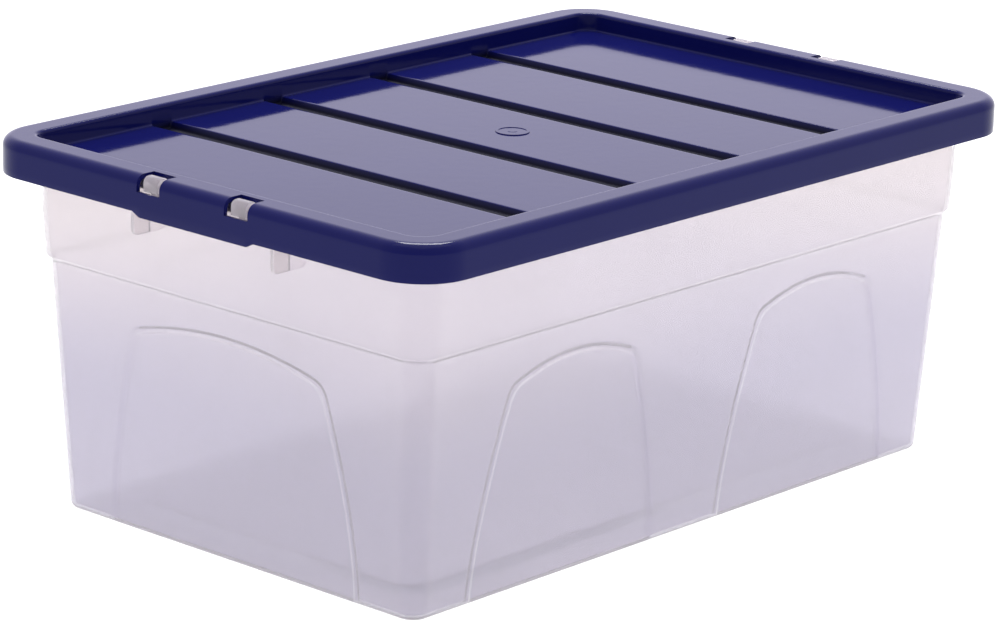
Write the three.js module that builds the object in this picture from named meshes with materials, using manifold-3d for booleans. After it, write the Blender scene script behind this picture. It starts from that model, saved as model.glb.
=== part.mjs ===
// A lidded battery box: a clear plastic tub, a navy lid that lifts off, and four clear snap hooks.
// The box stands on the plane z = 0 with its long side along X, and the middle of its base is the origin.
import * as THREE from "three";
import { mergeVertices } from "three/addons/utils/BufferGeometryUtils.js";
import Module from "manifold-3d";

const wasm = await Module();
wasm.setup();

// ---------- driving dimensions, millimetres ----------

const BOX_LENGTH = 400; // the lid, along X
const BOX_WIDTH = 265.3; // the lid, along Y
const BOX_HEIGHT = 170.7; // the ground to the lid's rim
const FIT_GAP = 0.4; // between the lid's recess and the mouth that it drops into
const TOUCH_GAP = 0.3; // between pieces that rest on each other
const CORNER_STEPS = 10; // facets round each plan corner

// Lid
const LID_CORNER = 24.7;
const LID_SKIRT = 16.3;
const LID_WALL = 2;
const LID_EDGE = 4.6; // rounding between skirt and rim
const RIM_WIDTH = 15.4; // skirt face to recess wall
const RIM_INNER_EDGE = 1.6; // rounding between rim and recess wall
const RECESS_DEPTH = 8.4;
const RECESS_LEAN = 0.8; // how far the recess wall leans in by its foot
const GROOVE_COUNT = 4;
const GROOVE_END = 78.2; // recess wall to the middle of the nearest groove
const GROOVE_WIDTH = 12;
const GROOVE_DEPTH = 3;
const GROOVE_TAPER = 1;
const GROOVE_CORNER = 3;
const TAB_WIDTH = 64; // the finger tab, where it is deepest
const TAB_RAMP = 4;
const TAB_DROP = 2.1;
const GATE_DISC_RADIUS = 7.8;
const GATE_DISC_HEIGHT = 0.4;

// Tub
const TUB_WALL = 1.8;
const OVERHANG = 15.5; // the lid's skirt beyond the tub's upper band
const DRAFT = 0.0565; // how far a wall leans out for each millimetre up
const UPRIGHT_DROP = 33.7; // the wall is upright from here to the rim
const STEP_DROP = 52.9; // the top of the wall's step, below the rim
const STEP_RISE = 3.6;
const STEP_OUT = 2.2;
const BASE_CORNER = 8.8;
const CORNER_GROWTH = 0.016; // how much a plan corner's radius grows for each millimetre up
const BASE_EDGE = 3; // rounding between wall and base
const FLOOR_RING = 23.2; // width of the foot ring round the raised floor
const FLOOR_RAISE = 1.8;
const FLOOR_RAMP = 2.4;

// Arches: shallow panels set into the walls, one at each short side and two at each long side
const ARCH_DEPTH_TOP = 1.3;
const ARCH_DEPTH_FOOT = 0.6;
const ARCH_STEP_GAP = 13.8; // crown to the wall's step
const ARCH_CROWN_RISE = 6.4;
const ARCH_SHOULDER_DROP = 14.4; // crown to shoulder
const ARCH_TURN_DROP = 7.6; // crown to where leg and crown would meet without their rounding
const ARCH_KNEE_HEIGHT = 38; // where a leg starts to lean
const ARCH_MARGIN = 34.2; // base corner to the foot of a leg
const ARCH_SPACE = 46.8; // between the two arches of a long side
const SHORT_LEG = { knee: 0.3, shoulder: 15.5, crown: 23.5 }; // how far a leg has come in
const LONG_LEG = { knee: 2.4, shoulder: 18.2, crown: 25.8 };

// Latch lip, gussets and hooks, at both short ends
const LIP_INSET = 6; // the lip's edge behind the skirt's face
const LIP_THICKNESS = 1.8;
const GUSSET_SPACING = 83.6;
const GUSSET_THICKNESS = 2;
const GUSSET_HEIGHT = 14.5;
const GUSSET_CORNER = 2.5;
const HOOK_SPACING = 52.4;
const HOOK_WIDTH = 8.8;
const HOOK_WALL = 1.8;
const HOOK_ROUND = 2.6;
const HOOK_FACE_INSET = 1.5; // the nose behind the skirt's face
const WINDOW_SIDE_GAP = 2.5;
const WINDOW_REACH = 10.2; // from the skirt's face in along the rim
const WINDOW_DROP = 7.2; // rim to sill
const WINDOW_SKIRT_WALL = 1.2; // what is left of the skirt below a sill

// ---------- derived places ----------

const SKIRT_BOTTOM = BOX_HEIGHT - LID_SKIRT;
const RIM_UNDERSIDE = BOX_HEIGHT - LID_WALL;
const PANEL_TOP = BOX_HEIGHT - RECESS_DEPTH;
const PANEL_UNDERSIDE = PANEL_TOP - LID_WALL;
const GROOVE_FLOOR = PANEL_TOP - GROOVE_DEPTH;
const GROOVE_UNDERSIDE = PANEL_UNDERSIDE - GROOVE_DEPTH;
const MOUTH_HEIGHT = GROOVE_UNDERSIDE - TOUCH_GAP; // the tub opens out round the lid above this
const TUB_TOP = RIM_UNDERSIDE - TOUCH_GAP;
const UPRIGHT_HEIGHT = BOX_HEIGHT - UPRIGHT_DROP;
const STEP_TOP = BOX_HEIGHT - STEP_DROP;
const STEP_BOTTOM = STEP_TOP - STEP_RISE;
const ARCH_TOP = STEP_BOTTOM - ARCH_STEP_GAP;
const SKIRT_X = BOX_LENGTH / 2;
const LIP_X = SKIRT_X - LIP_INSET;
const SILL = BOX_HEIGHT - WINDOW_DROP;

// ---------- solids ----------

function solid(geometry) {
  const bare = geometry.clone();
  bare.deleteAttribute("normal");
  bare.deleteAttribute("uv");
  const merged = mergeVertices(bare, 1e-4);
  const vertProperties = new Float32Array(merged.attributes.position.array);
  const triVerts = new Uint32Array(merged.index.array);
  return new wasm.Manifold(new wasm.Mesh({ numProp: 3, vertProperties, triVerts }));
}

function geometryOf(manifold) {
  const { vertProperties, numProp, triVerts } = manifold.getMesh();
  const positions = [];
  for (let i = 0; i < vertProperties.length; i += numProp) {
    positions.push(vertProperties[i], vertProperties[i + 1], vertProperties[i + 2]);
  }
  const geometry = new THREE.BufferGeometry();
  geometry.setAttribute("position", new THREE.Float32BufferAttribute(positions, 3));
  geometry.setIndex([...triVerts]);
  geometry.computeVertexNormals();
  return geometry;
}

function union(...manifolds) {
  return wasm.Manifold.union(manifolds);
}

// The same piece at both short ends: it is made at the -X end.
function atBothEnds(manifold) {
  return manifold.add(manifold.mirror([1, 0, 0]));
}

function block(x0, x1, y0, y1, z0, z1) {
  const geometry = new THREE.BoxGeometry(x1 - x0, y1 - y0, z1 - z0);
  geometry.translate((x0 + x1) / 2, (y0 + y1) / 2, (z0 + z1) / 2);
  return solid(geometry);
}

// An outline in XZ made into a plate whose middle is the plane y = centre.
function plate(shape, thickness, centre) {
  const geometry = new THREE.ExtrudeGeometry(shape, { depth: thickness, bevelEnabled: false });
  geometry.rotateX(Math.PI / 2);
  geometry.translate(0, centre + thickness / 2, 0);
  return solid(geometry);
}

// One level of a box with rounded plan corners, as half sizes and a radius.
function level(z, x, y, radius) {
  return { z, x, y, r: Math.max(radius, TOUCH_GAP) };
}

// The lid's outline at height z, moved in by inset.
function lidLevel(z, inset) {
  return level(z, BOX_LENGTH / 2 - inset, BOX_WIDTH / 2 - inset, LID_CORNER - inset);
}

function ringPoints({ z, x, y, r }) {
  const centres = [
    [x - r, y - r],
    [r - x, y - r],
    [r - x, r - y],
    [x - r, r - y],
  ];
  const points = [];
  centres.forEach(([cx, cy], quarter) => {
    for (let i = 0; i <= CORNER_STEPS; i++) {
      const angle = ((quarter + i / CORNER_STEPS) * Math.PI) / 2;
      points.push([cx + r * Math.cos(angle), cy + r * Math.sin(angle), z]);
    }
  });
  return points;
}

// A closed solid through levels that are listed from the bottom to the top.
function loft(levels) {
  const rings = levels.map(ringPoints);
  const count = rings[0].length;
  const top = (rings.length - 1) * count;
  const index = [];
  for (let base = 0; base < top; base += count) {
    for (let i = 0; i < count; i++) {
      const a = base + i;
      const b = base + ((i + 1) % count);
      index.push(a, b, b + count, a, b + count, a + count);
    }
  }
  for (let i = 1; i + 1 < count; i++) {
    index.push(0, i + 1, i);
    index.push(top, top + i, top + i + 1);
  }
  const geometry = new THREE.BufferGeometry();
  geometry.setAttribute("position", new THREE.Float32BufferAttribute(rings.flat(2), 3));
  geometry.setIndex(index);
  return solid(geometry);
}

// ---------- tub walls ----------

// How far the step has brought the wall out at height z, along an S curve.
function stepOut(z) {
  const t = THREE.MathUtils.clamp((z - STEP_BOTTOM) / STEP_RISE, 0, 1);
  return STEP_OUT * t * t * (3 - 2 * t);
}

// The outer face of the wall at height z, moved in by inset.
function wallLevel(z, inset) {
  const lean = DRAFT * (UPRIGHT_HEIGHT - Math.min(z, UPRIGHT_HEIGHT));
  const out = OVERHANG + lean + STEP_OUT - stepOut(z) + inset;
  const radius = BASE_CORNER + CORNER_GROWTH * z + stepOut(z) - inset;
  return level(z, BOX_LENGTH / 2 - out, BOX_WIDTH / 2 - out, radius);
}

function wallLevels(inset) {
  const heights = [STEP_BOTTOM];
  for (let i = 1; i <= 4; i++) heights.push(STEP_BOTTOM + (i / 4) * STEP_RISE);
  heights.push(UPRIGHT_HEIGHT);
  return heights.map((z) => wallLevel(z, inset));
}

// The mouth follows the outside of the lid's recess, with a gap, moved out by outset.
function mouthLevel(z, outset) {
  return lidLevel(z, RIM_WIDTH - LID_WALL - FIT_GAP - outset);
}

function tubOutside() {
  const foot = [];
  for (let i = 0; i <= 4; i++) {
    const angle = (i / 4) * (Math.PI / 2);
    foot.push(wallLevel(BASE_EDGE * (1 - Math.cos(angle)), BASE_EDGE * (1 - Math.sin(angle))));
  }
  return loft([
    ...foot,
    ...wallLevels(0),
    wallLevel(MOUTH_HEIGHT - 2 * TUB_WALL, 0),
    mouthLevel(MOUTH_HEIGHT - TUB_WALL / 2, TUB_WALL),
    mouthLevel(TUB_TOP, TUB_WALL),
  ]);
}

function tubHollow() {
  const cove = BASE_EDGE / 2;
  return loft([
    wallLevel(TUB_WALL, TUB_WALL + cove),
    wallLevel(TUB_WALL + cove / 3, TUB_WALL + cove / 3),
    wallLevel(TUB_WALL + cove, TUB_WALL),
    ...wallLevels(TUB_WALL),
    wallLevel(MOUTH_HEIGHT - TUB_WALL, TUB_WALL),
    mouthLevel(MOUTH_HEIGHT, 0),
    mouthLevel(TUB_TOP + 1, 0),
  ]);
}

// ---------- arches ----------

// The outline of an arch from below the base to its crown, moved out by grow.
function archShape(footHalf, leg, grow) {
  const top = ARCH_TOP + grow;
  const half = footHalf + grow;
  const shoulderZ = top - ARCH_SHOULDER_DROP;
  const turnZ = top - ARCH_TURN_DROP;
  const crownZ = top - ARCH_CROWN_RISE;
  const lean = (leg.shoulder - leg.knee) / (shoulderZ - ARCH_KNEE_HEIGHT);
  const turn = leg.shoulder + lean * (turnZ - shoulderZ);
  const below = -BASE_EDGE;
  const shape = new THREE.Shape();
  shape.moveTo(half, below);
  shape.lineTo(half, 0);
  shape.quadraticCurveTo(half - leg.knee, ARCH_KNEE_HEIGHT, half - leg.shoulder, shoulderZ);
  shape.quadraticCurveTo(half - turn, turnZ, half - leg.crown, crownZ);
  shape.quadraticCurveTo(0, top + ARCH_CROWN_RISE, leg.crown - half, crownZ);
  shape.quadraticCurveTo(turn - half, turnZ, leg.shoulder - half, shoulderZ);
  shape.quadraticCurveTo(leg.knee - half, ARCH_KNEE_HEIGHT, -half, 0);
  shape.lineTo(-half, below);
  return shape;
}

// A prism that runs out through one wall: it starts halfway from the middle of the box.
function archPrism(shape, offset, wallDistance, turns) {
  const settings = { depth: wallDistance, bevelEnabled: false, curveSegments: 8 };
  const geometry = new THREE.ExtrudeGeometry(shape, settings);
  geometry.rotateX(Math.PI / 2);
  geometry.translate(offset, -wallDistance / 2, 0);
  geometry.rotateZ((turns * Math.PI) / 2);
  return solid(geometry);
}

function archPrisms(grow) {
  const base = wallLevel(0, 0);
  const shortHalf = base.y - ARCH_MARGIN;
  const longHalf = (base.x - ARCH_MARGIN - ARCH_SPACE / 2) / 2;
  const longOffset = ARCH_SPACE / 2 + longHalf;
  const shortShape = archShape(shortHalf, SHORT_LEG, grow);
  const longShape = archShape(longHalf, LONG_LEG, grow);
  const prisms = [];
  for (const turns of [0, 2]) {
    prisms.push(archPrism(longShape, -longOffset, BOX_WIDTH / 2, turns));
    prisms.push(archPrism(longShape, longOffset, BOX_WIDTH / 2, turns));
    prisms.push(archPrism(shortShape, 0, BOX_LENGTH / 2, turns + 1));
  }
  return union(...prisms);
}

// What the arches take off a face that lies inset behind the wall's outer face.
function archSkin(inset) {
  const foot = wallLevel(-BASE_EDGE, inset + ARCH_DEPTH_FOOT);
  const crown = wallLevel(STEP_BOTTOM, inset + ARCH_DEPTH_TOP);
  return archPrisms(inset).subtract(loft([foot, crown]));
}

// ---------- floor, latch lip and gussets ----------

// The floor stands up from its foot ring, and the underside follows it.
function floorPanel(z) {
  const foot = wallLevel(z, FLOOR_RING);
  const top = wallLevel(z, FLOOR_RING + FLOOR_RAMP);
  return loft([
    level(z, foot.x, foot.y, BASE_CORNER + FLOOR_RAMP),
    level(z + FLOOR_RAISE, top.x, top.y, BASE_CORNER),
  ]);
}

function gussetShape() {
  const top = MOUTH_HEIGHT - LIP_THICKNESS / 2;
  const bottom = top - GUSSET_HEIGHT;
  const shape = new THREE.Shape();
  shape.moveTo(-wallLevel(top, TUB_WALL / 2).x, top);
  shape.lineTo(-LIP_X, top);
  shape.lineTo(-LIP_X, bottom + GUSSET_CORNER);
  shape.quadraticCurveTo(-LIP_X, bottom, GUSSET_CORNER - LIP_X, bottom);
  shape.lineTo(-wallLevel(bottom, TUB_WALL / 2).x, bottom);
  return shape;
}

// The lip stands out from the mouth and carries the two hooks, with a gusset under each end.
function latchLip() {
  const half = (GUSSET_SPACING + GUSSET_THICKNESS) / 2;
  const root = -wallLevel(MOUTH_HEIGHT, TUB_WALL / 2).x;
  const lip = block(-LIP_X, root, -half, half, MOUTH_HEIGHT - LIP_THICKNESS, MOUTH_HEIGHT);
  const gussets = [-1, 1].map((side) => {
    return plate(gussetShape(), GUSSET_THICKNESS, (side * GUSSET_SPACING) / 2);
  });
  return union(lip, ...gussets);
}

function tub() {
  const outside = tubOutside().subtract(archSkin(0));
  const hollow = tubHollow().subtract(archSkin(TUB_WALL));
  const shell = outside.add(atBothEnds(latchLip())).subtract(hollow);
  return shell.add(floorPanel(TUB_WALL)).subtract(floorPanel(0));
}

// ---------- lid ----------

function lidOutside() {
  const levels = [lidLevel(SKIRT_BOTTOM, 0)];
  for (let i = 0; i <= 5; i++) {
    const angle = (i / 5) * (Math.PI / 2);
    const z = BOX_HEIGHT - LID_EDGE * (1 - Math.sin(angle));
    levels.push(lidLevel(z, LID_EDGE * (1 - Math.cos(angle))));
  }
  return loft(levels);
}

// The space inside the skirt and under the top plate.
function lidInside() {
  const edge = LID_EDGE - LID_WALL;
  return loft([
    lidLevel(SKIRT_BOTTOM - 1, LID_WALL),
    lidLevel(RIM_UNDERSIDE - edge, LID_WALL),
    lidLevel(RIM_UNDERSIDE - 0.3 * edge, LID_WALL + 0.3 * edge),
    lidLevel(RIM_UNDERSIDE, LID_WALL + edge),
  ]);
}

// The recess's wall at height z, moved out by outset.
function recessLevel(z, outset) {
  const down = THREE.MathUtils.clamp((BOX_HEIGHT - z) / RECESS_DEPTH, 0, 1);
  return lidLevel(z, RIM_WIDTH + RECESS_LEAN * down - outset);
}

function recessSpace() {
  return loft([
    recessLevel(PANEL_TOP, 0),
    recessLevel(BOX_HEIGHT - RIM_INNER_EDGE, 0),
    recessLevel(BOX_HEIGHT - 0.3 * RIM_INNER_EDGE, 0.3 * RIM_INNER_EDGE),
    recessLevel(BOX_HEIGHT, RIM_INNER_EDGE),
    recessLevel(BOX_HEIGHT + 1, RIM_INNER_EDGE),
  ]);
}

// The grooves cross the panel from wall to wall.
function grooveBars(grow, bottom, top) {
  const foot = recessLevel(PANEL_TOP, 0);
  const half = GROOVE_WIDTH / 2 + grow;
  const reach = foot.y + grow;
  const pitch = (2 * (foot.x - GROOVE_END)) / (GROOVE_COUNT - 1);
  const bars = [];
  for (let i = 0; i < GROOVE_COUNT; i++) {
    const bar = loft([
      level(bottom, half - GROOVE_TAPER, reach - GROOVE_TAPER, GROOVE_CORNER),
      level(bottom + GROOVE_DEPTH, half, reach, GROOVE_CORNER),
      level(top, half, reach, GROOVE_CORNER),
    ]);
    bars.push(bar.translate([(i - (GROOVE_COUNT - 1) / 2) * pitch, 0, 0]));
  }
  return union(...bars);
}

// The outside of the recess: the back of its wall, of its panel and of its grooves.
function recessBack() {
  const panel = loft([
    recessLevel(PANEL_UNDERSIDE, LID_WALL),
    recessLevel(BOX_HEIGHT - LID_WALL / 2, LID_WALL),
  ]);
  return panel.add(grooveBars(LID_WALL, GROOVE_UNDERSIDE, PANEL_TOP));
}

// A mark like a moulding gate's, at the middle of the panel.
function gateDisc() {
  const buried = LID_WALL / 2;
  const height = GATE_DISC_HEIGHT + buried;
  const geometry = new THREE.CylinderGeometry(GATE_DISC_RADIUS, GATE_DISC_RADIUS, height, 32);
  geometry.rotateX(Math.PI / 2);
  geometry.translate(0, 0, PANEL_TOP - buried + height / 2);
  return solid(geometry);
}

// The finger tab is a deeper stretch of the skirt.
function fingerTab() {
  const half = TAB_WIDTH / 2;
  const shape = new THREE.Shape();
  shape.moveTo(-half - TAB_RAMP, 0);
  shape.lineTo(-half, -TAB_DROP);
  shape.lineTo(half, -TAB_DROP);
  shape.lineTo(half + TAB_RAMP, 0);
  shape.lineTo(half + TAB_RAMP, LID_WALL);
  shape.lineTo(-half - TAB_RAMP, LID_WALL);
  const geometry = new THREE.ExtrudeGeometry(shape, { depth: LID_WALL, bevelEnabled: false });
  geometry.rotateX(Math.PI / 2);
  geometry.rotateZ(-Math.PI / 2);
  geometry.translate(LID_WALL - SKIRT_X, 0, SKIRT_BOTTOM);
  return solid(geometry);
}

// A window through the edge of the rim, and the skirt made thinner inside below its sill.
function hookWindow(y) {
  const half = HOOK_WIDTH / 2 + WINDOW_SIDE_GAP;
  const thinned = -SKIRT_X + WINDOW_SKIRT_WALL;
  const window = block(-SKIRT_X - 1, -SKIRT_X + WINDOW_REACH, y - half, y + half, SILL, BOX_HEIGHT + 1);
  const low = SKIRT_BOTTOM - TAB_DROP - 1;
  const relief = block(thinned, -SKIRT_X + 2 * LID_WALL, y - half, y + half, low, SILL + 1);
  return window.add(relief);
}

function lid() {
  const shell = lidOutside().subtract(lidInside()).add(recessBack()).subtract(recessSpace());
  const grooved = shell.subtract(grooveBars(0, GROOVE_FLOOR, PANEL_TOP + 1));
  const windows = [-1, 1].map((side) => hookWindow((side * HOOK_SPACING) / 2));
  return union(grooved, atBothEnds(fingerTab()), gateDisc()).subtract(atBothEnds(union(...windows)));
}

// ---------- snap hooks ----------

// A hook stands on the lip, just clear of it, and its nose reaches out over the window's sill.
function hook(y) {
  const foot = MOUTH_HEIGHT + TOUCH_GAP;
  const top = BOX_HEIGHT - TOUCH_GAP;
  const nose = SILL + TOUCH_GAP;
  const face = -SKIRT_X + HOOK_FACE_INSET;
  const back = -LIP_X + HOOK_WALL;
  const shape = new THREE.Shape();
  shape.moveTo(back, foot);
  shape.lineTo(back, top - HOOK_WALL);
  shape.quadraticCurveTo(back, top, back - HOOK_WALL, top);
  shape.lineTo(face + HOOK_ROUND, top);
  shape.quadraticCurveTo(face, top, face, top - HOOK_ROUND);
  shape.lineTo(face, nose);
  shape.lineTo(-LIP_X, nose);
  shape.lineTo(-LIP_X, foot);
  return plate(shape, HOOK_WIDTH, y);
}

// ---------- assembly ----------

const CLEAR = { color: 0xd6d2de, roughness: 0.35, metalness: 0, transparent: true, opacity: 0.6 };
const NAVY = { color: 0x1c2050, roughness: 0.25, metalness: 0 };

const box = new THREE.Group();

function place(name, manifold, look) {
  const mesh = new THREE.Mesh(geometryOf(manifold), new THREE.MeshStandardMaterial(look));
  mesh.name = name;
  box.add(mesh);
}

place("tub", tub(), CLEAR);
place("lid", lid(), NAVY);
for (const [side, y] of [["front", -HOOK_SPACING / 2], ["back", HOOK_SPACING / 2]]) {
  place(`hook_left_${side}`, hook(y), CLEAR);
  place(`hook_right_${side}`, hook(y).mirror([1, 0, 0]), CLEAR);
}

export default box;
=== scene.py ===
"""A lidded battery box: a clear tub, a navy lid that lifts off, and four clear snap hooks."""

import math

import bmesh
import bpy
import numpy as np
from mathutils import Matrix, Vector, geometry


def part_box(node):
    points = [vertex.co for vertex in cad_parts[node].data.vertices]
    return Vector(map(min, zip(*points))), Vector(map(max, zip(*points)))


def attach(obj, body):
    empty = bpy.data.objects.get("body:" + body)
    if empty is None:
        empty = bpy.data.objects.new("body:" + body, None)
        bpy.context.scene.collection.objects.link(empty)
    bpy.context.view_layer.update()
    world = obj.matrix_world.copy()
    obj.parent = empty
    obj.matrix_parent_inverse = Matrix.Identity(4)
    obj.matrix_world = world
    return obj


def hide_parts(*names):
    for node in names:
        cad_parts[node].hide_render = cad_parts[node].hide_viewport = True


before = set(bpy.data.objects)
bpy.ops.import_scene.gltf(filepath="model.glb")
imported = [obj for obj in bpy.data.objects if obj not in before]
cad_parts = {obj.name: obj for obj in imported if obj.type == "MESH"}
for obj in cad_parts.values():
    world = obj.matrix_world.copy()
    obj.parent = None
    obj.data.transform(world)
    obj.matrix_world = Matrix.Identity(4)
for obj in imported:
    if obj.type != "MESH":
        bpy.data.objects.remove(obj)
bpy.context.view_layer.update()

# ---------- tub ----------
# The tub is one moulding of natural polypropylene, clear but a little milky, with 1.8 mm walls.
# They lean out for demoulding, with a step near the top and shallow arched panels. The floor stands
# up from a foot ring, and the mouth opens out to take the lid's recess.

MM = 0.001
lid_far_corner = np.array(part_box("lid")[1]) / MM
box_half = Vector((lid_far_corner[0], lid_far_corner[1]))
box_height = lid_far_corner[2]
tub_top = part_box("tub")[1][2] / MM

tub_wall = 1.8
overhang = 15.5  # from the lid's edge to the wall's top
draft = 0.0565  # how far a wall leans out per millimetre of height
upright_height = box_height - 33.7
step_top = box_height - 52.9
step_rise, step_out = 3.6, 2.2
step_bottom = step_top - step_rise
base_corner, corner_growth = 8.8, 0.016
base_edge = 3.0
mouth_height = tub_top - 11.4
lid_corner = 24.7
mouth_inset = 13.0
flare_height = 3.6  # where the wall opens out to the mouth
floor_ramp = (  # inset from the wall and rise, from the foot ring up to the raised floor
    (18.0, 0), (19.0, 0.03), (20.0, 0.15), (24.6, 1.55), (25.4, 1.74), (26.2, 1.8), (27.0, 1.8),
)
ramp_corner = 26.0

arch_top = step_bottom - 13.8
arch_depth_foot, arch_depth_top = 0.65, 0.95
arch_edge = 2.3  # width of the soft edge between wall and arch
arch_margin, arch_space = 34.2, 46.8
arch_knee, arch_shoulder_drop, arch_turn_drop, arch_crown_rise = 38, 14.4, 7.6, 6.4
short_leg = {"knee": 0.3, "shoulder": 15.5, "crown": 23.5}
long_leg = {"knee": 2.4, "shoulder": 18.2, "crown": 25.8}


def smooth_step(t):
    """An S curve from 0 to 1."""
    t = np.clip(t, 0, 1)
    return t * t * (3 - 2 * t)


def wall_level(height, inset):
    """The half sizes and corner radius of the tub's wall at a height, moved in by inset."""
    lean = draft * (upright_height - min(height, upright_height))
    stepped = step_out * float(smooth_step((height - step_bottom) / step_rise))
    out = overhang + lean + step_out - stepped + inset
    radius = base_corner + corner_growth * height + stepped - inset
    return height, box_half.x - out, box_half.y - out, max(radius, 0.3)


def mouth_level(height, outset):
    """The mouth follows the outside of the lid's recess."""
    inset = mouth_inset - outset
    return height, box_half.x - inset, box_half.y - inset, lid_corner - inset


def ring(level, corner_steps=14, guard=0.7, long_marks=(), short_marks=()):
    """Points anticlockwise round a rounded rectangle, with a guard beside each end of a corner."""
    height, x, y, radius = level
    points = []
    for quarter in range(4):
        turned = [x, y] if quarter % 2 == 0 else [y, x]
        cx, cy = turned[0] - radius, turned[1] - radius
        local = [(cx + radius, cy - guard)]
        for i in range(corner_steps + 1):
            angle = i / corner_steps * math.pi / 2
            local.append((cx + radius * math.cos(angle), cy + radius * math.sin(angle)))
        local.append((cx - guard, cy + radius))
        marks = short_marks if quarter % 2 else long_marks
        local += [(mark, turned[1]) for mark in sorted(marks, reverse=True)]
        turn = Matrix.Rotation(quarter * math.pi / 2, 2)
        points += [(*(turn @ Vector(p)), height) for p in local]
    return points


def add_face(shell, points, inward=False):
    """One face; its points go anticlockwise seen from the side that it looks out on."""
    shell.faces.new(points[::-1] if inward else points)


def add_rings(shell, rings, close_first=False, close_last=False):
    """Walls between rings of points that go anticlockwise; the first ring is the underside's."""
    rows = [[shell.verts.new(p) for p in points] for points in rings]
    for low, high in zip(rows, rows[1:]):
        for i, point in enumerate(low):
            after = (i + 1) % len(low)
            shell.faces.new((point, low[after], high[after], high[i]))
    if close_first:
        shell.faces.new(rows[0][::-1])
    if close_last:
        shell.faces.new(rows[-1])
    return rows


def quarter_round(steps):
    """Pairs that run along a quarter circle from 0, 1 to 1, 0."""
    angles = [i / steps * math.pi / 2 for i in range(steps + 1)]
    return [(1 - math.cos(angle), 1 - math.sin(angle)) for angle in angles]


def bend(a, b, c, steps):
    """Points on a quadratic curve, without the last."""
    ts = np.arange(steps)[:, None] / steps
    a, b, c = map(np.array, (a, b, c))
    return (1 - ts) ** 2 * a + 2 * ts * (1 - ts) * b + ts**2 * c


def arch_outline(foot_half, leg, grow):
    """An arch from its right foot over the crown to its left foot, moved out by grow."""
    top = arch_top + grow
    half = foot_half + grow
    shoulder, turn_height = top - arch_shoulder_drop, top - arch_turn_drop
    crown = top - arch_crown_rise
    lean = (leg["shoulder"] - leg["knee"]) / (shoulder - arch_knee)
    turn = leg["shoulder"] + lean * (turn_height - shoulder)
    foot, ankle = (half, 0.25), (half, 3)
    knee, bow = (half - leg["knee"], arch_knee), (half - leg["shoulder"], shoulder)
    peak = (half - leg["crown"], crown)
    right = np.vstack(
        [
            bend(foot, (half, 1.5), ankle, 5),
            bend(ankle, knee, bow, 16),
            bend(bow, (half - turn, turn_height), peak, 10),
        ]
    )
    crown_line = bend(peak, (0, top + arch_crown_rise), (-peak[0], crown), 24)
    left = (right * (-1, 1))[::-1]
    return np.vstack([right, crown_line, left])


def arch_depth(points, outlines):
    """How deep the arches are set in at points of a wall."""
    risen = (points[:, 1] + base_edge) / (step_bottom + base_edge)
    depth = arch_depth_foot + (arch_depth_top - arch_depth_foot) * risen
    sunk = np.zeros(len(points))
    for outline in outlines:
        start, step = outline[:-1], np.diff(outline, axis=0)
        to = points[:, None] - start
        along = np.clip((to * step).sum(2) / (step**2).sum(1), 0, 1)
        away = to - along[..., None] * step
        gap = np.hypot(away[..., 0], away[..., 1])
        nearest = gap.argmin(1)
        rows = np.arange(len(points))
        side = step[nearest, 0] * to[rows, nearest, 1] - step[nearest, 1] * to[rows, nearest, 0]
        signed = np.where(side > 0, 1, -1) * gap[rows, nearest]
        sunk = np.maximum(sunk, smooth_step(signed / arch_edge + 0.5))
    return depth * sunk


def arched_wall(shell, side, inset, levels, outlines, turn, inward):
    """One flat side of the wall, with its arches, between the corners of the given levels."""
    offsets = np.array((0.1, 0.3, 0.5, 0.7, 0.95, 1.5)) * arch_edge / 2.2
    offsets = np.concatenate([-offsets[::-1], offsets])
    points, edges = [], []

    def add_line(line, closed=False):
        first = len(points)
        points.extend(Vector(p) for p in line)
        last = len(points) - 1
        edges.extend((i, i + 1) for i in range(first, last))
        if closed:
            edges.append((last, first))

    heights = [level[0] for level in levels]
    reaches = [level[1 + (side == "short")] - level[3] - 0.7 for level in levels]
    rims = [(reach, height) for reach, height in zip(reaches, heights)]
    add_line(rims + [(-reach, height) for reach, height in rims[::-1]], closed=True)
    for reach, height in rims[1:-1]:
        if height < heights[0] + 5:
            add_line([(-reach, height), (reach, height)])
    for outline in outlines:
        along = np.gradient(outline, axis=0)
        across = np.stack([-along[:, 1], along[:, 0]], 1)
        across /= np.linalg.norm(across, axis=1)[:, None]
        for offset in offsets:
            line = outline + across * offset
            add_line(line[line[:, 1] > heights[0] + 0.05])
    found, _, faces, *_ = geometry.delaunay_2d_cdt(points, edges, [], 1, 1e-6)
    flat = np.array([p[:] for p in found])
    insets = np.interp(flat[:, 1], heights, [level[4] for level in levels])
    sunk = inset + arch_depth(flat, outlines)
    sharp = 6.0  # how tightly the arch and the rounded base edge meet
    depth = np.log(np.exp(sharp * insets) + np.exp(sharp * sunk) - np.exp(sharp * inset)) / sharp
    distance = [wall_level(z, 0)[1 + (side == "long")] for z in flat[:, 1]] - depth
    turned = Matrix.Rotation(turn, 2)
    placed = []
    for (s, z), d in zip(flat, distance):
        x, y = turned @ Vector((s, -d))
        placed.append(shell.verts.new((x, y, z)))
    for face in faces:
        a, b, c = (placed[i] for i in face)
        if len({a, b, c}) == 3:
            add_face(shell, (a, b, c), inward)


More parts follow.
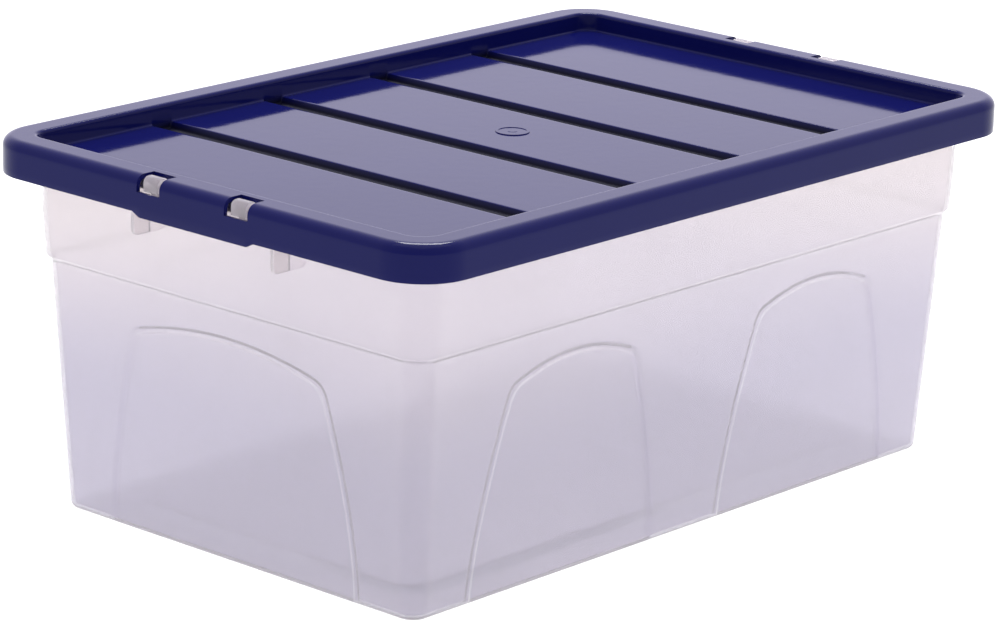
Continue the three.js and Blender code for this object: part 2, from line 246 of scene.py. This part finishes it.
def arched_band(shell, inset, levels, inward):
    """The wall's stretch that holds the arches: four rounded corners and four flat sides."""
    rings = [ring(level[:4]) for level in levels]
    count = len(rings[0]) // 4
    for quarter in range(4):
        first = quarter * count
        rows = [[shell.verts.new(p) for p in points[first : first + count]] for points in rings]
        for low, high in zip(rows, rows[1:]):
            for i in range(count - 1):
                add_face(shell, (low[i], low[i + 1], high[i + 1], high[i]), inward)
    _, base_x, base_y, _ = wall_level(0, 0)
    short_half = base_y - arch_margin
    long_half = (base_x - arch_margin - arch_space / 2) / 2
    long_outline = arch_outline(long_half, long_leg, inset)
    offset = np.array((arch_space / 2 + long_half, 0))
    pair = [long_outline - offset, long_outline + offset]
    single = [arch_outline(short_half, short_leg, inset)]
    for turn in (0, math.pi):
        arched_wall(shell, "long", inset, levels, pair, turn, inward)
        arched_wall(shell, "short", inset, levels, single, turn + math.pi / 2, inward)


def edge_levels(bottom, radius, inset, steps):
    """Levels round the edge between a flat bottom and the wall, each with its inset."""
    levels = []
    for rise, back in quarter_round(steps):
        height, moved = bottom + radius * rise, inset + radius * back
        levels.append((*wall_level(height, moved), moved))
    return levels


def above_arches(inset):
    """Rings from just above the arches up to where the mouth starts to open."""
    heights = [arch_top + 6, step_bottom - 0.6]
    heights += [step_bottom + step_rise * i / 8 for i in range(9)]
    heights += [step_top + 0.6, upright_height - 0.5, upright_height, upright_height + 0.5]
    return [ring(wall_level(height, inset)) for height in heights]


def flare_rings(start, end):
    """Rings between two levels, with the bends at both ends eased."""
    rings = []
    for t in (0, 0.08, 0.2, 0.5, 0.8, 0.92, 1):
        eased = 0.65 * t + 0.35 * float(smooth_step(t))
        steps = (t, eased, eased, eased)
        rings.append(ring([a + (b - a) * step for a, b, step in zip(start, end, steps)]))
    return rings


def floor_rings(bottom, foot_inset):
    """Rings from the middle of the floor, down the ramp, to the foot ring's outer edge."""
    rings = []
    for inset, rise in floor_ramp[::-1]:
        _, x, y, _ = wall_level(bottom, inset)
        rings.append(ring((bottom + rise, x, y, base_corner + ramp_corner - inset)))
    _, x, y, radius = wall_level(bottom, foot_inset + 0.6)
    return rings + [ring((bottom, x, y, max(radius, 3.0)))]


def tub_shell():
    """The whole tub without its latch lips."""
    shell = bmesh.new()
    heights = (40, 75, arch_top + 6)
    outer = edge_levels(0, base_edge, 0, 8)
    outer += [(*wall_level(h, 0), 0) for h in (base_edge + 0.7, *heights)]
    inner = edge_levels(tub_wall, base_edge / 2, tub_wall, 6)
    inner += [(*wall_level(h, tub_wall), tub_wall) for h in (tub_wall + 2.2, *heights)]
    arched_band(shell, 0, outer, inward=False)
    arched_band(shell, tub_wall, inner, inward=True)

    under = floor_rings(0, base_edge) + [ring(outer[0][:4])]
    add_rings(shell, under, close_first=True)
    over = floor_rings(tub_wall, tub_wall + base_edge / 2) + [ring(inner[0][:4])]
    add_rings(shell, over[::-1], close_last=True)

    flare = mouth_height - flare_height
    outside = above_arches(0) + [ring(wall_level(flare - 0.6, 0))]
    outside += flare_rings(wall_level(flare, 0), mouth_level(mouth_height - 0.9, tub_wall))
    outside += [ring(mouth_level(h, tub_wall)) for h in (mouth_height - 0.4, tub_top - 0.9)]
    rim = [(0.45, 0), (0.2, 0.1), (0, 0.45)]
    outside += [ring(mouth_level(tub_top - down, tub_wall - back)) for down, back in rim]
    inside = [ring(mouth_level(tub_top - down, back)) for down, back in rim[::-1]]
    inside += [ring(mouth_level(h, 0)) for h in (tub_top - 0.9, mouth_height + 0.5)]
    inside += flare_rings(mouth_level(mouth_height, 0), wall_level(flare + 1.8, tub_wall))
    inside += [ring(wall_level(flare + 1, tub_wall))] + above_arches(tub_wall)[::-1]
    add_rings(shell, outside + inside)
    bmesh.ops.remove_doubles(shell, verts=shell.verts, dist=2e-4)
    return shell


def linked(name, data):
    """An object of a mesh, lamp or camera, in the scene."""
    piece = bpy.data.objects.new(name, data)
    bpy.context.scene.collection.objects.link(piece)
    return piece


def made(name, shell):
    """The object of a shell in millimetres."""
    bmesh.ops.scale(shell, vec=(MM, MM, MM), verts=shell.verts)
    mesh = bpy.data.meshes.new(name)
    shell.to_mesh(mesh)
    shell.free()
    return linked(name, mesh)


class Wire:
    """What leaves a node's socket. A sum or product on it adds a Math node."""

    def __init__(self, finish, socket):
        self.finish, self.socket = finish, socket

    def worked(self, operation, other):
        return self.finish.node("Math", {"operation": operation}, {0: self, 1: other})

    def __add__(self, other):
        return self.worked("ADD", other)

    def __mul__(self, other):
        return self.worked("MULTIPLY", other)

    __radd__, __rmul__ = __add__, __mul__


class Finish:
    """A material's or a world's shader nodes, put together one by one."""

    def __init__(self, owner):
        owner.use_nodes = True
        self.owner, self.tree = owner, owner.node_tree
        self.tree.nodes.clear()

    def node(self, kind, settings=None, inputs=None, output=0):
        """Adds a node, makes its settings, then fills its sockets with values or wires."""
        added = self.tree.nodes.new("ShaderNode" + kind)
        for name, setting in (settings or {}).items():
            setattr(added, name, setting)
        for name, given in (inputs or {}).items():
            if isinstance(given, Wire):
                self.tree.links.new(given.socket, added.inputs[name])
            else:
                added.inputs[name].default_value = given
        return Wire(self, added.outputs[output]) if added.outputs else None

    def colour_mix(self, factor, first, second):
        """A colour between two others."""
        inputs = {"Factor": factor, 6: first, 7: second}
        return self.node("Mix", {"data_type": "RGBA"}, inputs, output=2)

    def done(self, surface, kind="OutputMaterial"):
        """Links the last node to the output, and returns the material or world."""
        self.node(kind, inputs={"Surface": surface})
        return self.owner


def clear_plastic(name, milkiness):
    """Natural polypropylene: a glassy, slightly hazy skin over a milky body, greyer low down as
    painted shade.
    """
    finish = Finish(bpy.data.materials.new(name))
    place = finish.node("TexCoord", output="Object")
    ripple = finish.node("TexNoise", inputs={"Vector": place, "Scale": 45.0, "Detail": 2.0})
    haze = finish.node("TexNoise", inputs={"Vector": place, "Scale": 14.0, "Detail": 3.0})
    bump = finish.node("Bump", inputs={"Height": ripple, "Strength": 0.01, "Distance": 0.001})
    height = finish.node("SeparateXYZ", inputs={"Vector": place}, output=2)
    # Painted shade: the colour turns greyer and bluer from the walls' upper part down to the floor,
    # in place of the shade on the tub's lower part.
    shade_by_height = finish.node(
        "MapRange", {"interpolation_type": "SMOOTHSTEP"}, {0: height, 1: 0.055, 2: 0.148}
    )
    painted_shade_tint = finish.colour_mix(shade_by_height, (0.705, 0.69, 0.775, 1), (0.975, 0.93, 0.92, 1))
    glass = finish.node(
        "BsdfPrincipled",
        inputs={
            "Base Color": painted_shade_tint,
            "Roughness": haze * 0.04 + 0.11,
            "IOR": 1.49,
            "Transmission Weight": 1.0,
            "Coat Weight": 1.0,
            "Coat Roughness": 0.06,
            "Coat IOR": 1.6,
            "Normal": bump,
        },
    )
    milk = finish.node("BsdfTranslucent", inputs={"Color": (0.90, 0.86, 0.89, 1)})
    return finish.done(finish.node("MixShader", inputs={0: milkiness, 1: glass, 2: milk}))


clear = clear_plastic("clear_polypropylene", 0.22)

lip_reach = box_half.x - 6
lip_thickness = 1.8
gusset_spacing, gusset_thickness, gusset_height, gusset_corner = 83.6, 2.0, 14.5, 2.5
lip_half = (gusset_spacing + gusset_thickness) / 2


def outline_face(name, points):
    """An outline in XZ as one face, in metres."""
    sheet = bpy.data.meshes.new(name)
    sheet.from_pydata([(x * MM, 0, z * MM) for x, z in points], [], [range(len(points))])
    return sheet


def plate_maker():
    """A node tree that makes plates of an outline: how thick, how many, how far apart, how set."""
    tree = bpy.data.node_groups.new("moulded_plates", "GeometryNodeTree")
    tree.interface.new_socket("Outline", in_out="INPUT", socket_type="NodeSocketGeometry")
    for name, kind in (
        ("Thickness", "Float"),
        ("Count", "Int"),
        ("Spacing", "Float"),
        ("Middle", "Float"),
        ("Turn", "Float"),
        ("Plastic", "Material"),
    ):
        tree.interface.new_socket(name, in_out="INPUT", socket_type="NodeSocket" + kind)
    tree.interface.new_socket("Plates", in_out="OUTPUT", socket_type="NodeSocketGeometry")

    def node(kind, settings=None, links=None):
        added = tree.nodes.new(kind)
        for name, setting in (settings or {}).items():
            setattr(added, name, setting)
        for name, given in (links or {}).items():
            if isinstance(given, (bpy.types.NodeSocket, list)):
                for socket in given if isinstance(given, list) else [given]:
                    tree.links.new(socket, added.inputs[name])
            else:
                added.inputs[name].default_value = given
        return added.outputs

    given = node("NodeGroupInput")
    thick = node("ShaderNodeCombineXYZ", links={"Y": given["Thickness"]})
    half = node("ShaderNodeVectorMath", {"operation": "SCALE"}, {0: thick[0], "Scale": -0.5})
    side = node("GeometryNodeSetPosition", links={"Geometry": given["Outline"], "Offset": half[0]})
    pulled = node(
        "GeometryNodeExtrudeMesh",
        links={"Mesh": side[0], "Offset": thick[0], "Offset Scale": 1.0, "Individual": False},
    )
    turned_over = node("GeometryNodeFlipFaces", links={"Mesh": side[0]})
    joined = node("GeometryNodeJoinGeometry", links={"Geometry": [pulled[0], turned_over[0]]})
    plate = node("GeometryNodeMergeByDistance", links={"Geometry": joined[0], "Distance": 1e-6})
    gap = node("ShaderNodeCombineXYZ", links={"Y": given["Spacing"]})
    row = node("GeometryNodeMeshLine", links={"Count": given["Count"], "Offset": gap[0]})
    fewer = node("ShaderNodeMath", {"operation": "SUBTRACT"}, {0: given["Count"], 1: 1.0})
    width = node("ShaderNodeMath", {"operation": "MULTIPLY"}, {0: fewer[0], 1: given["Spacing"]})
    start = node(
        "ShaderNodeMath", {"operation": "MULTIPLY_ADD"}, {0: width[0], 1: -0.5, 2: given["Middle"]}
    )
    shift = node("ShaderNodeCombineXYZ", links={"Y": start[0]})
    spots = node("GeometryNodeSetPosition", links={"Geometry": row[0], "Offset": shift[0]})
    turn = node("ShaderNodeCombineXYZ", links={"Z": given["Turn"]})
    placed = node("GeometryNodeInstanceOnPoints", links={"Points": spots[0], "Instance": plate[0]})
    turned = node("GeometryNodeTransform", links={"Geometry": placed[0], "Rotation": turn[0]})
    real = node("GeometryNodeRealizeInstances", links={"Geometry": turned[0]})
    coated = node(
        "GeometryNodeSetMaterial", links={"Geometry": real[0], "Material": given["Plastic"]}
    )
    node("NodeGroupOutput", links={"Plates": coated[0]})
    return tree


plates_tree = plate_maker()


def rebuilt(piece):
    """A plain mesh of what a piece's modifiers make of it."""
    return bpy.data.meshes.new_from_object(
        piece.evaluated_get(bpy.context.evaluated_depsgraph_get())
    )


def plates(name, outline, **given):
    """A plain mesh of the plates that the tree makes from an outline."""
    holder = linked(name, outline_face(name, outline))
    maker = holder.modifiers.new("plates", "NODES")
    maker.node_group = plates_tree
    for item in plates_tree.interface.items_tree:
        if item.in_out == "INPUT" and item.name in given:
            maker[item.identifier] = given[item.name]
    sheet = rebuilt(holder)
    bpy.data.objects.remove(holder)
    return sheet


def joined_with(piece, other, operation):
    """The piece's mesh after it was joined with another mesh or cut by it."""
    holder = linked("tool", other)
    cut = piece.modifiers.new("cut", "BOOLEAN")
    cut.operation, cut.object, cut.solver = operation, holder, "EXACT"
    result = rebuilt(piece)
    piece.modifiers.clear()
    bpy.data.objects.remove(holder)
    return result


def shaded(piece):
    """Smooth shading between faces that meet below 35 degrees."""
    shell = bmesh.new()
    shell.from_mesh(piece.data)
    for face in shell.faces:
        face.smooth = True
    for edge in shell.edges:
        edge.smooth = len(edge.link_faces) != 2 or edge.calc_face_angle(0) < math.radians(35)
    shell.to_mesh(piece.data)
    shell.free()


def block(x0, x1, y0, y1, z0, z1):
    """A rectangular block as a mesh, in metres."""
    shell = bmesh.new()
    bmesh.ops.create_cube(shell, size=1)
    bmesh.ops.scale(shell, vec=Vector((x1 - x0, y1 - y0, z1 - z0)) * MM, verts=shell.verts)
    middle = Vector((x0 + x1, y0 + y1, z0 + z1)) * MM / 2
    bmesh.ops.translate(shell, vec=middle, verts=shell.verts)
    sheet = bpy.data.meshes.new("block")
    shell.to_mesh(sheet)
    shell.free()
    return sheet


def gusset_outline():
    """A gusset under the lip: upright against the wall, with its outer lower corner rounded."""
    top = mouth_height - lip_thickness / 2
    bottom = top - gusset_height
    points = [(-wall_level(height, tub_wall / 2)[1], height) for height in (top, bottom)]
    for rise, back in quarter_round(6):
        points.append((-lip_reach + gusset_corner * back, bottom + gusset_corner * rise))
    return points + [(-lip_reach, top)]


tub = made("clear_tub", tub_shell())
additions = []
for turn in (0, math.pi):
    additions.append(
        plates(
            "gussets",
            gusset_outline(),
            Thickness=gusset_thickness * MM,
            Count=2,
            Spacing=gusset_spacing * MM,
            Turn=turn,
            Plastic=clear,
        )
    )
lip_root = wall_level(mouth_height, tub_wall / 2)[1]
for side in (-1, 1):
    ends = sorted((side * lip_reach, side * lip_root))
    additions.append(
        block(*ends, -lip_half, lip_half, mouth_height - lip_thickness, mouth_height)
    )
for addition in additions:
    tub.data = joined_with(tub, addition, "UNION")
shaded(tub)
tub.data.materials.clear()
tub.data.materials.append(clear)
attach(tub, "tub")
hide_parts("tub")

# ---------- lid ----------
# The lid is one moulding of navy polypropylene with a glossy face: a rolled rim with a skirt, a
# recess for the next box's base, and four stiffening grooves. Windows at the short ends let the
# hooks through, and a deeper stretch of the skirt between them is the finger tab.

lid_wall = 2.0
lid_edge = 4.6
rim_width, rim_inner_edge = 15.4, 1.6
recess_depth, recess_lean, recess_foot = 8.4, 0.8, 0.9
panel_top = box_height - recess_depth
skirt_bottom = box_height - 16.3
side_panel_width = 78.2  # from the middle of an outer groove to the recess's wall
groove_pitch = 2 * (box_half.x - rim_width - recess_lean - side_panel_width) / 3
groove_centres = [(i - 1.5) * groove_pitch for i in range(4)]
groove_under_grow = 1.4  # how much wider a groove is on the panel's underside
groove_matt_and_shade_depth = 1.2  # from this depth on, a groove is fully matt and fully darkened by painted shade
groove_section = (
    (7.6, 0), (6.6, 0), (6.3, 0.05), (6.1, 0.2), (5.95, 0.45), (5.2, 2.5),
    (5.05, 2.75), (4.8, 2.93), (4.5, 3.0), (3.6, 3.0),
)
tab_half, tab_ramp, tab_drop = 32.0, 4.0, 2.1
tab_band = 10.0  # the tab's points lie this close to the lid's ends
groove_band = 100.0  # the points that follow the grooves lie this far out along Y
window_half, window_reach, window_sill = 6.9, 10.2, box_height - 7.2
hook_spacing = 52.4
window_skirt_wall = 1.2
disc_section = (
    (7.8, -0.6), (7.8, 0.25), (7.65, 0.4), (6.6, 0.4),
    (6.4, 0.15), (2.2, 0.15), (2.0, 0.3), (1.2, 0.3),
)


def lid_level(height, inset):
    """The lid's outline at a height, moved in by inset."""
    return height, box_half.x - inset, box_half.y - inset, lid_corner - inset


def groove_depth(x, grow):
    """How deep the panel is let down at a place along the box."""
    away = min(abs(x - centre) for centre in groove_centres) - grow
    places, depths = zip(*groove_section[::-1])
    return float(np.interp(away, places, depths))


def tab_depth(y):
    """How much deeper the skirt is at a place along a short end."""
    return tab_drop * float(np.clip((tab_half + tab_ramp - abs(y)) / tab_ramp, 0, 1))


def lid_shell():
    """The whole lid without its windows."""
    tab_marks = [s * (tab_half + m) for m in (-1.2, -0.4, 0.3, 2, 3.7, 4.4, 5.2) for s in (-1, 1)]
    sides = [side * x for x, _ in groove_section for side in (-1, 1)]
    long_marks = [centre + x for centre in groove_centres for x in sides]

    def lid_ring(height, inset):
        return ring(lid_level(height, inset), 18, 0.8, long_marks, tab_marks)

    def grooved(height, inset, grow):
        return [
            (x, y, z - groove_depth(x, grow) if abs(y) > groove_band else z)
            for x, y, z in lid_ring(height, inset)
        ]

    def tabbed(height, inset):
        return [
            (x, y, z - tab_depth(y) if abs(x) > box_half.x - tab_band else z)
            for x, y, z in lid_ring(height, inset)
        ]

    panel_under, rim_under = panel_top - lid_wall, box_height - lid_wall
    back, under_edge = rim_width + recess_lean - lid_wall, lid_edge - lid_wall
    under = [
        grooved(panel_under, back + 0.8, groove_under_grow),
        grooved(panel_under + 0.8, back, groove_under_grow),
        lid_ring(rim_under - 0.6, rim_width - lid_wall + 0.1),
        lid_ring(rim_under, rim_width - lid_wall - 0.8),
    ]
    for down, out in quarter_round(5):
        under.append(lid_ring(rim_under - under_edge * down, lid_wall + under_edge * out))
    under += [
        lid_ring(skirt_bottom + 4, lid_wall),
        tabbed(skirt_bottom + 0.5, lid_wall),
        tabbed(skirt_bottom, lid_wall - 0.5),
    ]

    over = [tabbed(skirt_bottom + up, inset) for up, inset in ((0, 0.5), (0.15, 0.15), (0.5, 0))]
    over += [lid_ring(skirt_bottom + 3.2, 0), lid_ring(box_height - lid_edge - 0.8, 0)]
    for inset, down in quarter_round(8):
        over.append(lid_ring(box_height - lid_edge * down, lid_edge * inset))
    over.append(lid_ring(box_height, lid_edge + 0.8))
    over.append(lid_ring(box_height, rim_width - rim_inner_edge - 0.8))
    for down, back in quarter_round(5):
        over.append(lid_ring(box_height - rim_inner_edge * down, rim_width - rim_inner_edge * back))
    over.append(lid_ring(box_height - rim_inner_edge - 0.6, rim_width + 0.08))
    over.append(lid_ring(panel_top + recess_foot + 0.9, rim_width + 0.6))
    foot = rim_width + recess_lean
    for up, inset in quarter_round(5)[::-1]:
        over.append(grooved(panel_top + recess_foot * up, foot - 0.1 + recess_foot * inset, 0))
    over.append(grooved(panel_top, foot + recess_foot + 0.6, 0))

    shell = bmesh.new()
    rows = add_rings(shell, under + over)
    for row, upward in ((rows[0], False), (rows[-1], True)):
        strips = [[]]
        for point in sorted(row, key=lambda point: point.co.x):
            if strips[-1] and point.co.x - strips[-1][-1].co.x > 0.01:
                strips.append([])
            strips[-1].append(point)
        strips = [sorted(strip, key=lambda point: point.co.y) for strip in strips]
        for left, right in zip(strips, strips[1:]):
            points = left[::-1] + right
            shell.faces.new(points if upward else points[::-1])
    return shell


def add_gate_disc(shell):
    """A flat disc with a dimple, as a moulding gate leaves, at the middle of the panel."""
    angles = [i / 24 * math.pi for i in range(48)]
    rings = [
        [
            Vector((radius * math.cos(angle), radius * math.sin(angle), panel_top + height)) * MM
            for angle in angles
        ]
        for radius, height in disc_section
    ]
    add_rings(shell, rings, close_first=True, close_last=True)


def navy_plastic():
    """Navy polypropylene: a glossy skin with faint orange peel; matt in the grooves and darkened
    there by painted shade.
    """
    finish = Finish(bpy.data.materials.new("navy_polypropylene"))
    place = finish.node("TexCoord", output="Object")
    peel = finish.node("TexNoise", inputs={"Vector": place, "Scale": 160.0, "Detail": 1.0})
    sag = finish.node("TexNoise", inputs={"Vector": place, "Scale": 9.0, "Detail": 1.0})
    cloud = finish.node("TexNoise", inputs={"Vector": place, "Scale": 22.0, "Detail": 4.0})
    height = peel * 0.15 + sag
    bump = finish.node("Bump", inputs={"Height": height, "Strength": 0.12, "Distance": 0.001})
    groove = finish.node("Attribute", {"attribute_name": "groove"}, output=2)
    skin = finish.colour_mix(cloud, (0.0035, 0.0048, 0.066, 1), (0.0050, 0.0065, 0.078, 1))
    # Painted shade: the groove attribute darkens the colour in the grooves, in place of the shade
    # on their floors and walls.
    painted_groove_shade = finish.colour_mix(groove, skin, (0.0008, 0.0010, 0.012, 1))
    surface = finish.node(
        "BsdfPrincipled",
        inputs={
            "Base Color": painted_groove_shade,
            "Roughness": cloud * 0.06 + groove * 0.5 + 0.05,
            "IOR": 1.21,
            "Normal": bump,
        },
    )
    return finish.done(surface)


lid = made("navy_lid", lid_shell())
for side in (-1, 1):
    for y in (-hook_spacing / 2, hook_spacing / 2):
        across = (y - window_half, y + window_half)
        deep = sorted((side * (box_half.x + 1), side * (box_half.x - window_reach)))
        window = block(*deep, *across, window_sill, box_height + 1)
        behind = sorted((side * (box_half.x - window_skirt_wall), side * (box_half.x - 3)))
        thinning = block(*behind, *across, skirt_bottom - 3, window_sill + 1)
        for cutter in (window, thinning):
            lid.data = joined_with(lid, cutter, "DIFFERENCE")
shell = bmesh.new()
shell.from_mesh(lid.data)
add_gate_disc(shell)
shell.to_mesh(lid.data)
shell.free()
shaded(lid)
# How deep each point of the panel lies in a groove. The finish makes the grooves matt and paints
# shade into them.
groove_values = lid.data.attributes.new("groove", "FLOAT", "POINT").data
for vertex, groove in zip(lid.data.vertices, groove_values):
    x, y, z = vertex.co / MM
    on_panel = abs(x) < box_half.x - rim_width and abs(y) < box_half.y - rim_width
    if on_panel and z < panel_top - 0.1:
        groove.value = min(groove_depth(x, 0) / groove_matt_and_shade_depth, 1)
lid.data.materials.clear()
lid.data.materials.append(navy_plastic())
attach(lid, "lid")
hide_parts("lid")

# ---------- snap hooks ----------
# Four snap hooks of the tub's own plastic stand on its lips, two at each short end. Each is an
# L-shaped tongue whose nose reaches out over the sill of a window in the lid.

hook_width, hook_wall, hook_round, hook_edge = 8.8, 1.8, 2.6, 0.35
hook_foot, hook_top = mouth_height + 0.3, box_height - 0.3
nose_bottom, nose_face = window_sill + 0.3, box_half.x - 1.5
thick_clear = clear_plastic("thick_clear_polypropylene", 0.5)


def hook_outline():
    """A hook from the side, with its top rounded over at the back and at the nose."""
    back_face = lip_reach - hook_wall
    points = [(-lip_reach, hook_foot), (-lip_reach, nose_bottom), (-nose_face, nose_bottom)]
    for back, down in quarter_round(6):
        points.append((-nose_face + hook_round * back, hook_top - hook_round * down))
    for down, out in quarter_round(4):
        points.append((-back_face - hook_wall * out, hook_top - hook_wall * down))
    return points + [(-back_face, hook_foot)]


for end, turn in (("left", 0), ("right", math.pi)):
    for place, y in (("front", -hook_spacing / 2), ("back", hook_spacing / 2)):
        sheet = plates(
            "hook",
            hook_outline(),
            Thickness=hook_width * MM,
            Count=1,
            Spacing=0.0,
            Middle=(y if end == "left" else -y) * MM,
            Turn=turn,
            Plastic=thick_clear,
        )
        hook = linked(f"snap_hook_{end}_{place}", sheet)
        rounding = hook.modifiers.new("edges", "BEVEL")
        rounding.width, rounding.segments, rounding.limit_method = hook_edge * MM, 2, "ANGLE"
        rounding.angle_limit = math.radians(40)
        shaded(hook)
        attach(hook, f"hook_{end}_{place}")
        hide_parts(f"hook_{end}_{place}")

# ---------- floor, light and camera ----------
# The box stands on a plain white sheet that glows, as paper lit from all round does. The white
# surround is brighter toward the box's far side, with a soft lamp overhead and one behind.

floor_reach, floor_height = 9, -2e-4
corners = ((-1, -1), (1, -1), (1, 1), (-1, 1))
sheet = bpy.data.meshes.new("studio_floor")
sheet.from_pydata(
    [(x * floor_reach, y * floor_reach, floor_height) for x, y in corners], [], [range(4)]
)
floor = linked("studio_floor", sheet)
finish = Finish(bpy.data.materials.new("studio_white"))
white = finish.node(
    "BsdfPrincipled",
    inputs={
        "Base Color": (0.25, 0.25, 0.25, 1),
        "Roughness": 1.0,
        "Specular IOR Level": 0.0,
        "Emission Color": (1, 1, 1, 1),
        "Emission Strength": 1.1,
    },
)
sheet.materials.append(finish.done(white))

surround = bpy.data.worlds.new("surround")
bpy.context.scene.world = surround
finish = Finish(surround)
towards = finish.node("TexCoord", output="Generated")
facing = finish.node(
    "VectorMath",
    {"operation": "DOT_PRODUCT"},
    {0: towards, 1: (0.74, 0.67, 0.0)},
    output="Value",
)
glow = finish.node(
    "MapRange", inputs={"Value": facing, "From Min": -1.0, "To Min": 0.65, "To Max": 1.5}
)
tinted = finish.node("Background", inputs={"Color": (0.97, 0.93, 1.05, 1), "Strength": glow})
finish.done(tinted, "OutputWorld")


def lamp(name, place, aim, size, power):
    """A square soft lamp that faces a point."""
    light = bpy.data.lights.new(name, "AREA")
    light.shape, light.size, light.energy = "SQUARE", size, power
    holder = linked(name, light)
    holder.location = place
    holder.rotation_euler = (Vector(aim) - Vector(place)).to_track_quat("-Z", "Y").to_euler()


lamp("overhead", (0, 0, 2.4), (0, 0, 0), 2.0, 10)
lamp("behind", (0.83, 0.75, 1.85), (0, 0, 0.17), 0.75, 30)

lens = bpy.data.cameras.new("camera")
lens.lens, lens.sensor_width, lens.sensor_fit = 160.998, 36, "HORIZONTAL"
camera = linked("camera", lens)
camera_place = (-1.455866, -1.295334, 0.644517)
azimuth, elevation, roll = map(math.radians, (-48.2359, 16.2656, 1.4384))
back = Vector(
    (
        math.sin(azimuth) * math.cos(elevation),
        -math.cos(azimuth) * math.cos(elevation),
        math.sin(elevation),
    )
)
right = Vector((0, 0, 1)).cross(back).normalized()
up = back.cross(right)
across = right * math.cos(roll) + up * math.sin(roll)
upward = up * math.cos(roll) - right * math.sin(roll)
turned = Matrix((across, upward, back)).transposed().to_4x4()
camera.matrix_world = Matrix.Translation(camera_place) @ turned
bpy.context.scene.camera = camera
bpy.context.scene.view_settings.view_transform = "Standard"
